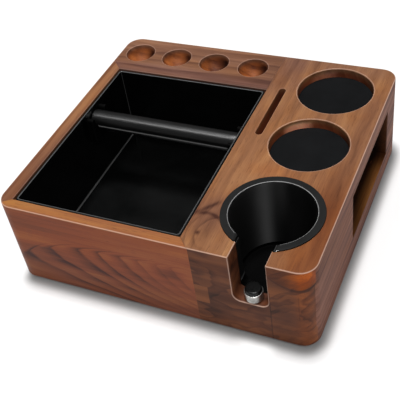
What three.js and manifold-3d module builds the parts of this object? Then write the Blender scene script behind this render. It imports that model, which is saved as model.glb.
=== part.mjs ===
// Espresso tamping station: a walnut caddy with a lift-out knock box, a portafilter cup,
// two tool coasters, a slot for a puck screen, a row of round wells and a side compartment.
// Millimetres, +Z up, +X to the right, +Y to the back. The origin is on the table,
// under the middle of the body.
import * as THREE from "three";
import { mergeVertices } from "three/addons/utils/BufferGeometryUtils.js";
import Module from "manifold-3d";

const wasm = await Module();
wasm.setup();

// Walnut body
const bodyHeight = 78;
const cornerRadius = 13; // upright outer corners
const bayWidth = 140.5; // opening for the knock box, left to right
const leftBoardThickness = 11;
const frontBoardThickness = 9;
const backBoardThickness = 14;
const bayRearThickness = 8;
const baseThickness = 6;
const dividerThickness = 10;
const rearBlockDepth = 36;
const glueLine = 0.1; // gap along a mitre

// Round coasters sunk in the right deck, each with a pad
const coasterDiameter = 61.5; // takes a 58 mm tamper or leveller
const coasterDepth = 10;
const coasterWeb = 5.5; // wood left under a coaster
const coasterSideMargin = 12.25;
const coasterRearMargin = 7.75;
const coasterGap = 9.5;
const padThickness = 2;
const padClearance = 0.3;

// Narrow slot for a puck screen, between the knock box and the coasters
const slotLength = 62;
const slotWidth = 5.6;
const slotWeb = 3.5; // wood left under the slot
const slotBayMargin = 10.5;
const slotCoasterGap = 8.65;
const slotRearMargin = 45.6;

// Portafilter cup, dropped into a bore behind the handle notch
const cupMouthDiameter = 62.8;
const cupWall = 4.9; // at the mouth
const cupTaper = 3.3; // the bore's radius at the floor is this much less
const cupFloorThickness = 3;
const cupFlangeOverhang = 1.05;
const cupFlangeThickness = 1;
const cupLipChamfer = 0.8;
const cupClearance = 0.3;
const cupFluteClearance = 0.4; // flute down the cup's front to the support screw's head
const cupSideMargin = 7.2;
const cupFrontMargin = 11.25;
const cupRearMargin = 10.05;
const cupCoasterGap = 9.8;
const cupPocketDepth = 5; // how far the cup's bore goes into the plinth
const plinthWeb = 13; // wood left under that pocket

// Handle notch, cut through the front into the cup's bore
const notchWidth = 26.6;
const notchDepth = 43.7;
const notchOffset = 1.85; // the notch's middle is this far left of the cup's axis
const notchCornerRadius = 6;
const notchFlare = 3.5; // rounding of the cup's wall at the notch's mouth
const notchStep = 0.3; // the cup's notch goes this much below the wood's

// Row of round-bottomed wells in the back rail
const wellDiameter = 26.2;
const wellDepth = 12.5;
const wellWeb = 11.5; // wood left under a well
const wellGap = 10.4;
const wellEdgeMargin = 6.3;
const wellBackMargin = 9.6;
const wellFrontMargin = 14.2;

// Knock box
const binClearance = 0.8;
const binWall = 2;
const binFloor = 2;
const binRimDrop = 1.2; // the rim sits this far below the deck
const binCornerRadius = 3;

// Knock bar: a steel rod in a rubber sleeve, with an end cap in a cradle at each side
const rodDiameter = 8;
const sleeveThickness = 4;
const barFit = 0.15; // gap between the rod and what is on it
const barFromRear = 53.8; // axis to the bin's rear wall
const barBelowRim = 12; // axis to the bin's rim
const barEndClearance = 0.5;
const endCapLength = 7;
const cradleReach = 6;
const cradleArm = 4.6;
const cradleArmRise = 7.4; // arms above the bar's axis
const cradleWeb = 9; // material under the bar
const cradleClearance = 0.4;
const cradleScrewDiameter = 3;
const cradleScrewHeadDiameter = 5.5;
const cradleScrewHeadHeight = 1.25;
const cradleScrewLength = 6.5;
const cradleScrewSpacing = 13;
const cradleScrewClearance = 0.15;

// Handle support: a thumb screw with a rubber cap, in a threaded insert in the notch's floor
const supportCapDiameter = 12.2;
const supportCapRise = 3; // cap above the screw's head
const supportCapSeat = 2; // cap inside the screw's head
const supportCapChamfer = 0.6;
const supportRim = 0.7;
const supportHeadHeight = 7.3;
const supportCollarHeight = 2;
const supportCollarOverhang = 0.5; // collar past the barrel under it
const supportSetback = 0.1; // head to the front face
const supportShankDiameter = 5;
const supportShankLength = 12;
const supportClearance = 0.3;
const supportFit = 0.1;
const insertWall = 1;
const insertLength = 10;
const boreRunout = 2; // free depth under the screw's tip

// Feet
const footHeight = 2;
const footDiameter = 14;
const footInset = 20;

// Facets
const roundFacets = 48;
const smallFacets = 24;
const wellFacets = 24;
const wellRings = 6;
const cornerFacets = 6; // in a quarter turn
const cutMargin = 1; // cutters run past the faces they open

// Derived layout
const coasterRadius = coasterDiameter / 2;
const cupOuterRadius = cupMouthDiameter / 2 + cupWall;
const cupFlangeRadius = cupOuterRadius + cupFlangeOverhang;
const deckThickness = coasterDepth + coasterWeb;
const railThickness = wellDepth + wellWeb;
const plinthThickness = cupPocketDepth + plinthWeb;
const deckWidth = slotBayMargin + slotWidth + slotCoasterGap + coasterDiameter + coasterSideMargin;
const railWidth = wellFrontMargin + wellDiameter + wellBackMargin;
const overallWidth = leftBoardThickness + bayWidth + deckWidth;
const overallDepth =
  cupFrontMargin + 2 * cupFlangeRadius + cupCoasterGap + 2 * coasterDiameter + coasterGap + coasterRearMargin;

const left = -overallWidth / 2;
const right = overallWidth / 2;
const front = -overallDepth / 2;
const back = overallDepth / 2;
const bottom = footHeight;
const top = bottom + bodyHeight;
const deckBottom = top - deckThickness;
const railBottom = top - railThickness;
const baseTop = bottom + baseThickness;
const plinthTop = bottom + plinthThickness;

const bayLeft = left + leftBoardThickness;
const bayRight = right - deckWidth;
const bayFront = front + frontBoardThickness;
const bayBack = back - railWidth;
const frontBlockBack = front + cupFrontMargin + 2 * cupFlangeRadius + cupRearMargin;
const rearBlockFront = back - rearBlockDepth;
const backBoardFront = back - backBoardThickness;

const coasterX = right - coasterSideMargin - coasterRadius;
const rearCoasterY = back - coasterRearMargin - coasterRadius;
const frontCoasterY = rearCoasterY - coasterDiameter - coasterGap;
const coasterFloor = top - coasterDepth;
const slotX = bayRight + slotBayMargin + slotWidth / 2;
const slotRear = back - slotRearMargin;
const slotFloor = deckBottom + slotWeb;

const cupX = right - cupSideMargin - cupFlangeRadius;
const cupY = front + cupFrontMargin + cupFlangeRadius;
const cupPocketFloor = plinthTop - cupPocketDepth;
const cupBoreRadius = cupOuterRadius + cupClearance;
const notchX = cupX - notchOffset;
const notchFloor = top - notchDepth;

const binWidth = bayWidth - 2 * binClearance;
const binDepth = bayBack - bayFront - 2 * binClearance;
const binHeight = top - binRimDrop - baseTop;
const binInnerWidth = binWidth - 2 * binWall;
const barRadius = rodDiameter / 2 + sleeveThickness;
const barLength = binInnerWidth - 2 * barEndClearance;

const supportSocketRadius = supportCapDiameter / 2 + supportFit;
const supportHeadRadius = supportSocketRadius + supportRim;
const supportY = front + supportSetback + supportHeadRadius;
const insertBoreRadius = supportShankDiameter / 2 + supportClearance;
const insertRadius = insertBoreRadius + insertWall;
const supportBoreDepth = supportShankLength + boreRunout;

// Materials
const finish = (color, roughness, metalness = 0) =>
  new THREE.MeshStandardMaterial({ color, roughness, metalness });
const walnut = finish(0x7a4a2e, 0.5);
const darkWalnut = finish(0x5f3a28, 0.5);
const paleWalnut = finish(0x8f5c38, 0.5);
const blackPlastic = finish(0x0b0b0c, 0.35);
const blackRubber = finish(0x161617, 0.7);
const padFelt = finish(0x1a1b1c, 0.85);
const steel = finish(0xc9c9c6, 0.25, 1);
const brass = finish(0xb08d4a, 0.35, 1);

// A closed geometry as a solid that can be cut and joined.
function solidOf(geometry) {
  const bare = new THREE.BufferGeometry();
  bare.setAttribute("position", geometry.getAttribute("position"));
  bare.setIndex(geometry.getIndex());
  const merged = mergeVertices(bare);
  const corners = merged.getIndex().array;
  const triVerts = [];
  for (let i = 0; i < corners.length; i += 3) {
    const [a, b, c] = corners.slice(i, i + 3);
    if (a !== b && b !== c && c !== a) triVerts.push(a, b, c);
  }
  return new wasm.Manifold(
    new wasm.Mesh({
      numProp: 3,
      vertProperties: new Float32Array(merged.getAttribute("position").array),
      triVerts: new Uint32Array(triVerts),
    }),
  );
}

// A solid as a geometry that can be shown.
function geometryOf(solid) {
  const { vertProperties, triVerts } = solid.getMesh();
  const geometry = new THREE.BufferGeometry();
  geometry.setAttribute("position", new THREE.BufferAttribute(vertProperties, 3));
  geometry.setIndex(new THREE.BufferAttribute(triVerts, 1));
  geometry.computeVertexNormals();
  return geometry;
}

// Basic solids
function block(x0, x1, y0, y1, z0, z1) {
  const geometry = new THREE.BoxGeometry(x1 - x0, y1 - y0, z1 - z0);
  return solidOf(geometry.translate((x0 + x1) / 2, (y0 + y1) / 2, (z0 + z1) / 2));
}

function prism(shape, z0, z1) {
  const geometry = new THREE.ExtrudeGeometry(shape, {
    depth: z1 - z0,
    bevelEnabled: false,
    curveSegments: cornerFacets,
  });
  return solidOf(geometry.translate(0, 0, z0));
}

function polygon(points) {
  return new THREE.Shape(points.map(([x, y]) => new THREE.Vector2(x, y)));
}

function roundedRectangle(x0, x1, y0, y1, radius) {
  const quarter = Math.PI / 2;
  const shape = new THREE.Shape();
  shape.absarc(x1 - radius, y0 + radius, radius, -quarter, 0);
  shape.absarc(x1 - radius, y1 - radius, radius, 0, quarter);
  shape.absarc(x0 + radius, y1 - radius, radius, quarter, 2 * quarter);
  shape.absarc(x0 + radius, y0 + radius, radius, 2 * quarter, 3 * quarter);
  return shape;
}

// An upright cylinder, or a cone where the two radii differ.
function disc(radius, z0, z1, { x = 0, y = 0, facets = roundFacets, topRadius = radius } = {}) {
  const geometry = new THREE.CylinderGeometry(topRadius, radius, z1 - z0, facets);
  return solidOf(geometry.rotateX(Math.PI / 2).translate(x, y, (z0 + z1) / 2));
}

// A solid of revolution about Z, from [radius, z] points that run anticlockwise.
function turned(points, facets = roundFacets) {
  const profile = points.map(([r, z]) => new THREE.Vector2(r, z));
  return solidOf(new THREE.LatheGeometry(profile, facets).rotateX(Math.PI / 2));
}

// A shape drawn in X and Z, run along Y from the front to the back.
function runBack(shape, y0, y1) {
  const geometry = new THREE.ExtrudeGeometry(shape, {
    depth: y1 - y0,
    bevelEnabled: false,
    curveSegments: cornerFacets,
  });
  return solidOf(geometry.rotateX(Math.PI / 2).translate(0, y1, 0));
}

function cut(solid, ...tools) {
  return tools.reduce((rest, tool) => rest.subtract(tool), solid);
}

const station = new THREE.Group();

function add(group, name, solid, material) {
  const mesh = new THREE.Mesh(geometryOf(solid), material);
  mesh.name = name;
  group.add(mesh);
  return mesh;
}

function subassembly(x, y, z, parent = station) {
  const group = new THREE.Group();
  group.position.set(x, y, z);
  parent.add(group);
  return group;
}

// Boards of the left side: two mitred walls, a back wall, a well rail, a floor and an inner wall
const bodyOutline = prism(roundedRectangle(left, right, front, back, cornerRadius), bottom, top);

function board(points, z0, z1) {
  return prism(polygon(points), z0, z1).intersect(bodyOutline);
}

function leftBoard() {
  const wall = board(
    [
      [left, front],
      [bayLeft, bayFront],
      [bayLeft, backBoardFront],
      [left, back],
    ],
    bottom,
    top,
  );
  const mitre = bayBack - glueLine;
  const railHousing = polygon([
    [left - cutMargin, mitre + leftBoardThickness + cutMargin],
    [bayLeft + cutMargin, mitre - cutMargin],
    [bayLeft + cutMargin, back + cutMargin],
    [left - cutMargin, back + cutMargin],
  ]);
  return cut(wall, prism(railHousing, railBottom, top + cutMargin));
}

function frontBoard() {
  return board(
    [
      [left + glueLine, front],
      [bayRight + frontBoardThickness - glueLine, front],
      [bayRight - glueLine, bayFront],
      [bayLeft + glueLine, bayFront],
    ],
    bottom,
    top,
  );
}

function backBoard() {
  return board(
    [
      [left + glueLine, back],
      [bayRight, back],
      [bayRight, backBoardFront],
      [bayLeft + glueLine, backBoardFront],
    ],
    bottom,
    railBottom,
  );
}

// A round-bottomed cutter whose mouth is level with the rail's top.
function wellCutter(x, y) {
  const radius = wellDiameter / 2;
  const ball = (radius * radius + wellDepth * wellDepth) / (2 * wellDepth);
  const centre = ball - wellDepth;
  const reach = Math.asin(Math.min(1, radius / ball));
  const sweep = wellDepth > radius ? Math.PI - reach : reach;
  const points = [[0, -wellDepth]];
  for (let i = 1; i < wellRings; i++) {
    const angle = (sweep * i) / wellRings;
    points.push([ball * Math.sin(angle), centre - ball * Math.cos(angle)]);
  }
  points.push([radius, 0], [radius, cutMargin], [0, cutMargin]);
  return turned(points, wellFacets).translate([x, y, top]);
}

function wellRail() {
  const rail = board(
    [
      [left, back],
      [bayRight, back],
      [bayRight, bayBack],
      [bayLeft, bayBack],
      [left, bayBack + leftBoardThickness],
    ],
    railBottom,
    top,
  );
  const pitch = wellDiameter + wellGap;
  const count = Math.floor((bayRight - left - 2 * wellEdgeMargin + wellGap) / pitch);
  const firstX = left + wellEdgeMargin + wellDiameter / 2;
  const wellY = back - wellBackMargin - wellDiameter / 2;
  const wells = Array.from({ length: count }, (_, i) => wellCutter(firstX + i * pitch, wellY));
  return cut(rail, ...wells);
}

const baseBoard = block(bayLeft, bayRight, bayFront, backBoardFront, bottom, baseTop);
const bayRearBoard = block(bayLeft, bayRight, bayBack, bayBack + bayRearThickness, baseTop, railBottom);

// Boards of the right side: a plinth, a front and a rear block, a divider and the deck on top
const rightOutline = [
  [bayRight + frontBoardThickness, front],
  [right, front],
  [right, back],
  [bayRight, back],
  [bayRight, bayFront],
];

const cupBore = disc(cupBoreRadius, cupPocketFloor, top + cutMargin, { x: cupX, y: cupY });
const supportBore = disc(insertRadius + supportFit, notchFloor - supportBoreDepth, notchFloor + cutMargin, {
  x: notchX,
  y: supportY,
  facets: smallFacets,
});

// The notch seen from the front, about its own middle, with its mouth at z = 0.
function notchShape(depth, flare) {
  const half = notchWidth / 2;
  const radius = Math.min(notchCornerRadius, half);
  const floor = -depth;
  const quarter = Math.PI / 2;
  const shape = new THREE.Shape();
  shape.moveTo(half + flare, cutMargin);
  shape.lineTo(-half - flare, cutMargin);
  if (flare > 0) {
    shape.absarc(-half - flare, -flare, flare, quarter, 0, true);
  }
  shape.absarc(-half + radius, floor + radius, radius, 2 * quarter, 3 * quarter);
  shape.absarc(half - radius, floor + radius, radius, 3 * quarter, 4 * quarter);
  if (flare > 0) {
    shape.absarc(half + flare, -flare, flare, 2 * quarter, quarter, true);
  }
  return shape;
}

const handleNotch = runBack(notchShape(notchDepth, 0), front - cutMargin, cupY).translate([notchX, 0, top]);

function coasterCutter(y) {
  return disc(coasterRadius, coasterFloor, top + cutMargin, { x: coasterX, y });
}

function slotCutter() {
  const half = slotWidth / 2;
  const outline = roundedRectangle(slotX - half, slotX + half, slotRear - slotLength, slotRear, half);
  return prism(outline, slotFloor, top + cutMargin);
}

function deckPanel() {
  const recesses = [coasterCutter(rearCoasterY), coasterCutter(frontCoasterY), slotCutter()];
  return cut(board(rightOutline, deckBottom, top), ...recesses, cupBore, handleNotch);
}

function frontBlock() {
  const behind = block(left, right, frontBlockBack, back + cutMargin, bottom, top);
  return cut(board(rightOutline, plinthTop, deckBottom), behind, cupBore, handleNotch, supportBore);
}

function plinthPlank() {
  return cut(board(rightOutline, bottom, plinthTop), cupBore, handleNotch, supportBore);
}

function rearBlock() {
  const ahead = block(left, right, front - cutMargin, rearBlockFront, bottom, top);
  return cut(board(rightOutline, plinthTop, deckBottom), ahead);
}

const dividerBoard = block(
  bayRight,
  bayRight + dividerThickness,
  frontBlockBack,
  rearBlockFront,
  plinthTop,
  deckBottom,
);

add(station, "left_board", leftBoard(), walnut);
add(station, "front_board", frontBoard(), walnut);
add(station, "back_board", backBoard(), walnut);
add(station, "well_rail", wellRail(), darkWalnut);
add(station, "base_board", baseBoard, paleWalnut);
add(station, "bay_rear_board", bayRearBoard, paleWalnut);
add(station, "deck_panel", deckPanel(), paleWalnut);
add(station, "plinth_plank", plinthPlank(), darkWalnut);
add(station, "front_block", frontBlock(), darkWalnut);
add(station, "rear_block", rearBlock(), darkWalnut);
add(station, "divider_board", dividerBoard, paleWalnut);

// Coaster pads
const coasterPad = disc(coasterRadius - padClearance, 0, padThickness);
for (const [name, y] of [
  ["rear_coaster_pad", rearCoasterY],
  ["front_coaster_pad", frontCoasterY],
]) {
  add(subassembly(coasterX, y, coasterFloor), name, coasterPad, padFelt);
}

// Feet
const foot = disc(footDiameter / 2, 0, footHeight, { facets: smallFacets });
for (const [side, x] of [
  ["left", left + footInset],
  ["right", right - footInset],
]) {
  for (const [end, y] of [
    ["front", front + footInset],
    ["rear", back - footInset],
  ]) {
    add(subassembly(x, y, 0), `foot_${end}_${side}`, foot, blackRubber);
  }
}

// Knock box, about the middle of its floor
const binX = (bayLeft + bayRight) / 2;
const binY = (bayFront + bayBack) / 2;
const barAxisY = binDepth / 2 - binWall - barFromRear;
const barAxisZ = binHeight - barBelowRim;
const cradleScrewZ = barAxisZ - barRadius - cradleClearance - cradleWeb / 2;
const cradleScrewYs = [-1, 1].map((end) => barAxisY + (end * cradleScrewSpacing) / 2);

// A countersunk screw along X: the head's face is at x = 0 and the tip points to +X.
// A clearance makes the hole for it, which runs past the face.
function countersunkScrew(clearance, past) {
  const shank = cradleScrewDiameter / 2;
  const slope = (cradleScrewHeadDiameter / 2 - shank) / cradleScrewHeadHeight;
  const mouth = cradleScrewHeadDiameter / 2 + slope * past;
  const tip = -cradleScrewLength - clearance;
  const profile = [
    [0, tip],
    [shank + clearance, tip],
    [shank + clearance, -cradleScrewHeadHeight],
    [mouth + clearance, past],
    [0, past],
  ];
  return turned(profile, smallFacets).rotate([0, -90, 0]);
}

// Both sides of the bin are alike, so a side's pieces are made for the left and mirrored.
function atSide(solid, side) {
  return side === "left" ? solid : solid.mirror([1, 0, 0]);
}

function cradleScrewHoles(side) {
  const holes = cradleScrewYs.map((y) =>
    countersunkScrew(cradleScrewClearance, cutMargin).translate([-binWidth / 2, y, cradleScrewZ]),
  );
  return holes.map((hole) => atSide(hole, side));
}

function knockBin() {
  const halfWidth = binWidth / 2;
  const halfDepth = binDepth / 2;
  const outline = roundedRectangle(-halfWidth, halfWidth, -halfDepth, halfDepth, binCornerRadius);
  const shell = prism(outline, 0, binHeight);
  const innerRadius = Math.max(binCornerRadius - binWall, binCornerRadius / 3);
  const hollow = roundedRectangle(
    -halfWidth + binWall,
    halfWidth - binWall,
    -halfDepth + binWall,
    halfDepth - binWall,
    innerRadius,
  );
  const inside = prism(hollow, binFloor, binHeight + cutMargin);
  return cut(shell, inside, ...cradleScrewHoles("left"), ...cradleScrewHoles("right"));
}

// A U that is open at the top, on the bin's side wall.
function cradle(side) {
  const slot = barRadius + cradleClearance;
  const wall = -binInnerWidth / 2;
  const body = block(
    wall,
    wall + cradleReach,
    barAxisY - slot - cradleArm,
    barAxisY + slot + cradleArm,
    barAxisZ - slot - cradleWeb,
    barAxisZ + cradleArmRise,
  );
  const seat = disc(slot, -cutMargin, cradleReach + cutMargin)
    .rotate([0, 90, 0])
    .translate([wall, barAxisY, barAxisZ]);
  const mouth = block(
    wall - cutMargin,
    wall + cradleReach + cutMargin,
    barAxisY - slot,
    barAxisY + slot,
    barAxisZ,
    barAxisZ + cradleArmRise + cutMargin,
  );
  return cut(atSide(cut(body, seat, mouth), side), ...cradleScrewHoles(side));
}

const binGroup = subassembly(binX, binY, baseTop);
add(binGroup, "knock_bin", knockBin(), blackPlastic);
for (const side of ["left", "right"]) {
  add(binGroup, `bar_cradle_${side}`, cradle(side), blackPlastic);
  for (const [i, end] of ["front", "rear"].entries()) {
    const screw = countersunkScrew(0, 0).translate([-binWidth / 2, cradleScrewYs[i], cradleScrewZ]);
    add(binGroup, `cradle_screw_${side}_${end}`, atSide(screw, side), steel);
  }
}

// Knock bar, along X about the middle of its rod
function tube(radius, bore, x0, x1) {
  const facets = { facets: smallFacets };
  const solid = disc(radius, x0, x1, facets);
  const drilled = cut(solid, disc(bore, x0 - cutMargin, x1 + cutMargin, facets));
  return drilled.rotate([0, 90, 0]);
}

const barGroup = subassembly(0, barAxisY, barAxisZ, binGroup);
const halfBar = barLength / 2;
const capBore = rodDiameter / 2 + barFit;
const halfSleeve = halfBar - endCapLength;
const barRod = disc(rodDiameter / 2, -halfBar, halfBar, { facets: smallFacets }).rotate([0, 90, 0]);
add(barGroup, "bar_rod", barRod, steel);
add(barGroup, "bar_sleeve", tube(barRadius, capBore, -halfSleeve, halfSleeve), blackRubber);
add(barGroup, "bar_end_cap_left", tube(barRadius, capBore, -halfBar, -halfSleeve), blackPlastic);
add(barGroup, "bar_end_cap_right", tube(barRadius, capBore, halfSleeve, halfBar), blackPlastic);

// Portafilter cup, about its axis, with its flange resting on the deck at z = 0
function portafilterCup() {
  const mouth = cupMouthDiameter / 2;
  const floor = cupPocketFloor - top + cupClearance;
  const cup = turned([
    [0, floor],
    [cupOuterRadius, floor],
    [cupOuterRadius, 0],
    [cupFlangeRadius, 0],
    [cupFlangeRadius, cupFlangeThickness],
    [mouth + cupLipChamfer, cupFlangeThickness],
    [mouth, cupFlangeThickness - cupLipChamfer],
    [mouth - cupTaper, floor + cupFloorThickness],
    [0, floor + cupFloorThickness],
  ]);
  const openingDepth = cupFlangeThickness + notchDepth + notchStep;
  const opening = runBack(notchShape(openingDepth, notchFlare), -cupFlangeRadius - cutMargin, 0);
  // The flute lets the cup lift past the support screw.
  const flute = disc(supportHeadRadius + cupFluteClearance, floor - cutMargin, 0, {
    x: -notchOffset,
    y: supportY - cupY,
    facets: smallFacets,
  });
  return cut(cup, opening.translate([-notchOffset, 0, cupFlangeThickness]), flute);
}

add(subassembly(cupX, cupY, top), "portafilter_cup", portafilterCup(), blackPlastic);

// Handle support, about its axis, with the screw's head resting on the notch's floor at z = 0
function threadedInsert() {
  return turned(
    [
      [insertBoreRadius, -insertLength],
      [insertRadius, -insertLength],
      [insertRadius, 0],
      [insertBoreRadius, 0],
      [insertBoreRadius, -insertLength],
    ],
    smallFacets,
  );
}

function supportScrew() {
  const shank = supportShankDiameter / 2;
  const barrel = supportHeadRadius - supportCollarOverhang;
  const collar = supportHeadHeight - supportCollarHeight;
  const socketFloor = supportHeadHeight - supportCapSeat - supportFit;
  return turned(
    [
      [0, -supportShankLength],
      [shank, -supportShankLength],
      [shank, 0],
      [barrel, 0],
      [barrel, collar],
      [supportHeadRadius, collar],
      [supportHeadRadius, supportHeadHeight],
      [supportSocketRadius, supportHeadHeight],
      [supportSocketRadius, socketFloor],
      [0, socketFloor],
    ],
    smallFacets,
  );
}

function supportCap() {
  const radius = supportCapDiameter / 2;
  const seat = supportHeadHeight - supportCapSeat;
  const crown = supportHeadHeight + supportCapRise;
  return turned(
    [
      [0, seat],
      [radius, seat],
      [radius, crown - supportCapChamfer],
      [radius - supportCapChamfer, crown],
      [0, crown],
    ],
    smallFacets,
  );
}

const supportGroup = subassembly(notchX, supportY, notchFloor);
add(supportGroup, "threaded_insert", threadedInsert(), brass);
add(supportGroup, "support_screw", supportScrew(), steel);
add(supportGroup, "support_cap", supportCap(), blackRubber);

export default station;
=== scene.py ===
"""Looks of the espresso tamping station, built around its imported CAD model. Metres, +Z up."""

import math

import bmesh
import bpy
from mathutils import Matrix, Vector
from mathutils.geometry import tessellate_polygon

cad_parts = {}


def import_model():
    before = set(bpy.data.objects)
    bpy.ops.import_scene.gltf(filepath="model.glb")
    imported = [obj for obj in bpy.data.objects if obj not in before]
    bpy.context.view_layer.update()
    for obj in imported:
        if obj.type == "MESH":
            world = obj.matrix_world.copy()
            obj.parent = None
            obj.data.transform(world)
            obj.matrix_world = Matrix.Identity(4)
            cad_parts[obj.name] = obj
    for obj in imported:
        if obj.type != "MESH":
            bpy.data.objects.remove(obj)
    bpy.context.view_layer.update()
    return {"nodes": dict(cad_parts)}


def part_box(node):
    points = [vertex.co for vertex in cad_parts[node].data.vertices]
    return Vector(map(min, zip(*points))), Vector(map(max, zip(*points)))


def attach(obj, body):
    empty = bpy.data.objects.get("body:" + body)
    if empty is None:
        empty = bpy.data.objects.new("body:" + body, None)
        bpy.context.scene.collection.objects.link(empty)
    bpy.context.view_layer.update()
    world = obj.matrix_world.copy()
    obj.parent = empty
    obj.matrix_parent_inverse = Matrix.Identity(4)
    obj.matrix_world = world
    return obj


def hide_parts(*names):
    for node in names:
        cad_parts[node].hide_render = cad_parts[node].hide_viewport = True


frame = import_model()
MM = 0.001


def span(node):
    """The node's (low, high) along x, y and z, in millimetres."""
    low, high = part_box(node)
    return [(a / MM, b / MM) for a, b in zip(low, high)]


def upright(node):
    """The middle in x and y, the radius and the (low, high) along z of a round node that stands upright."""
    (x0, x1), (y0, y1), heights = span(node)
    return (x0 + x1) / 2, (y0 + y1) / 2, (x1 - x0) / 2, heights


# Layout in millimetres, read from the solids
(LEFT, BAY_L), _, (BOTTOM, TOP) = span("left_board")
_, (FRONT, BAY_F), _ = span("front_board")
_, (BAY_B, BACK), (RAIL_Z, _) = span("well_rail")
_, (BACKBOARD_F, _), _ = span("back_board")
(BAY_R, RIGHT), _, (DECK_Z, _) = span("deck_panel")
_, _, (_, PLINTH_Z) = span("plinth_plank")
_, (_, BLOCK_B), _ = span("front_block")
_, (REAR_F, _), _ = span("rear_block")
(CUP_L, CUP_R), (_, CUP_B), (CUP_BOTTOM, CUP_TOP) = span("portafilter_cup")
CUP_X = (CUP_L + CUP_R) / 2
FLANGE_R = (CUP_R - CUP_L) / 2
CUP_Y = CUP_B - FLANGE_R
NOTCH_X, SCREW_Y, HEAD_R, (SCREW_TIP, SCREW_TOP) = upright("support_screw")
COASTER_X, COASTER_Y, PAD_R, _ = upright("front_coaster_pad")
_, REAR_COASTER_Y, _, _ = upright("rear_coaster_pad")

# Sizes that the boxes don't give, as in the part's source
CORNER = 13.0
NOTCH = 26.6
NOTCH_Z = TOP - 43.7
NOTCH_CORNER = 6.0
FLARE = 3.5
CUP_OUTER = FLANGE_R - 1.05
BORE = CUP_OUTER + 0.3
POCKET_Z = PLINTH_Z - 5.0
CUP_MOUTH = 31.4
CUP_FLOOR = 28.1
WELL_R = 13.1
WELL_DEPTH = 12.5
WELL_PITCH = 36.6
WELL_X = LEFT + 6.3 + WELL_R
WELL_Y = BACK - 9.6 - WELL_R
SLOT_X = BAY_R + 13.3
SLOT_Y = (BACK - 107.6, BACK - 45.6)
SLOT_HALF = 2.8
SLOT_Z = DECK_Z + 3.5
COASTER_R = PAD_R + 0.3
PADS = ("rear_coaster_pad", "front_coaster_pad")
FLUTE_GAP = 0.4

# Roundings in millimetres
EDGE = 1.0  # of the outer edges
SOFT = 0.6  # share of it on the bay's edges
SEAM = 0.12  # share of it where boards meet
RIM_RING = 0.25  # width of the ring round the rim of a hole that has no pale edge of wear or painted highlight


# Outlines: (x, y, k), where k is the share of the rounding on the edge after the point
def arc(cx, cy, r, a0, a1, n, k=1.0):
    """An arc in n steps, from one angle to the other in degrees."""
    angles = [math.radians(a0 + (a1 - a0) * i / n) for i in range(n + 1)]
    return [(cx + r * math.cos(a), cy + r * math.sin(a), k) for a in angles]


def circle(cx, cy, r):
    """A clockwise circle, for a hole."""
    return arc(cx, cy, r, 0, -360, 96)[:-1]


def inset(loop, d):
    """The outline moved to its left by d times each edge's share."""
    moved = []
    for i, (x, y, k) in enumerate(loop):
        px, py, pk = loop[i - 1]
        nx, ny, _ = loop[(i + 1) % len(loop)]
        a = Vector((py - y, x - px)).normalized()
        b = Vector((y - ny, nx - x)).normalized()
        det = a.x * b.y - a.y * b.x
        if abs(det) < 0.3:
            m = (a + b).normalized() * d * (pk + k) / 2
            moved.append((x + m.x, y + m.y))
        else:
            dx, dy = (pk * b.y - k * a.y) / det, (k * a.x - pk * b.x) / det
            moved.append((x + d * dx, y + d * dy))
    return moved


def on_corner(p, q, cx, cy, r):
    """The angle at which the line from p through q leaves the circle of a rounded corner."""
    p, d = Vector(p), (Vector(q) - Vector(p)).normalized()
    f = p - Vector((cx, cy))
    hit = p + d * (-f.dot(d) + math.sqrt(f.dot(d) ** 2 - f.length_squared + r * r))
    return math.degrees(math.atan2(hit.y - cy, hit.x - cx)) % 360


def quarter(steps):
    """The angles of a quarter turn."""
    return [math.pi / 2 * i / steps for i in range(steps + 1)]


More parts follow.
